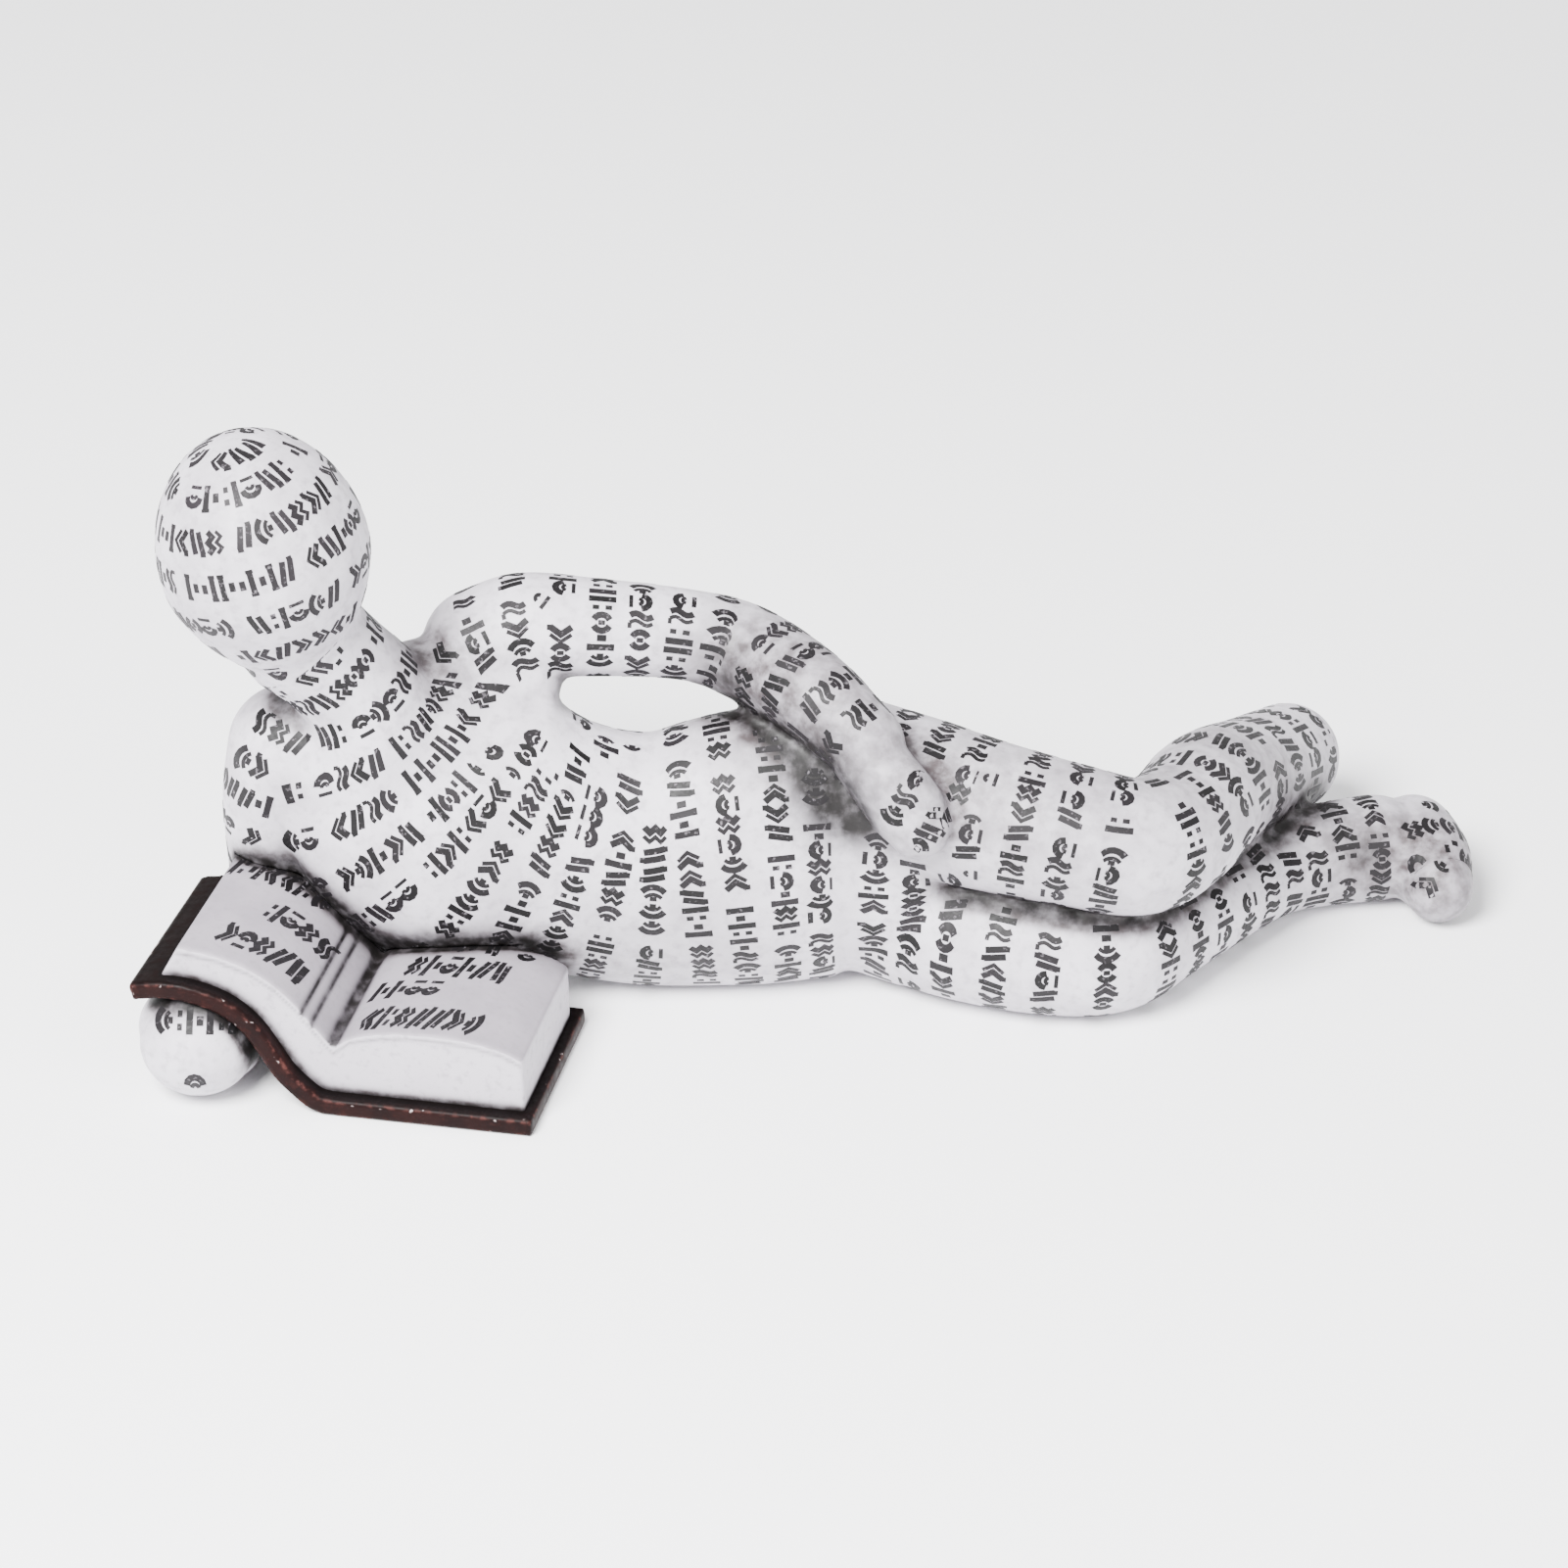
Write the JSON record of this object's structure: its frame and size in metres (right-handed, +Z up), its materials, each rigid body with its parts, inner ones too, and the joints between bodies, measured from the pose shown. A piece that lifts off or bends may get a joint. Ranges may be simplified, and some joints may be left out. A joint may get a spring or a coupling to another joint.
{
  "type": "reading woman figurine",
  "caption": "Cast resin ornament: a faceless woman lies on her side, propped on one elbow and one hand, over an open book; rows of short printed marks ring her body",
  "frame": {"origin": "on the shelf plane, at the middle of the small flat that the figure's hip rests on", "axes": "+X from head to feet, +Y from her front to her back, +Z up"},
  "size_m": [0.2016, 0.0951, 0.0949],
  "materials": {
    "figure": "cast resin painted off-white, with dark printed marks and a thin dark wash in the creases",
    "book": "cast resin, off-white pages in a dark red-brown painted cover"
  },
  "bodies": {
    "root": {"figure": "figure", "book": "book"}
  },
  "joints": []
}
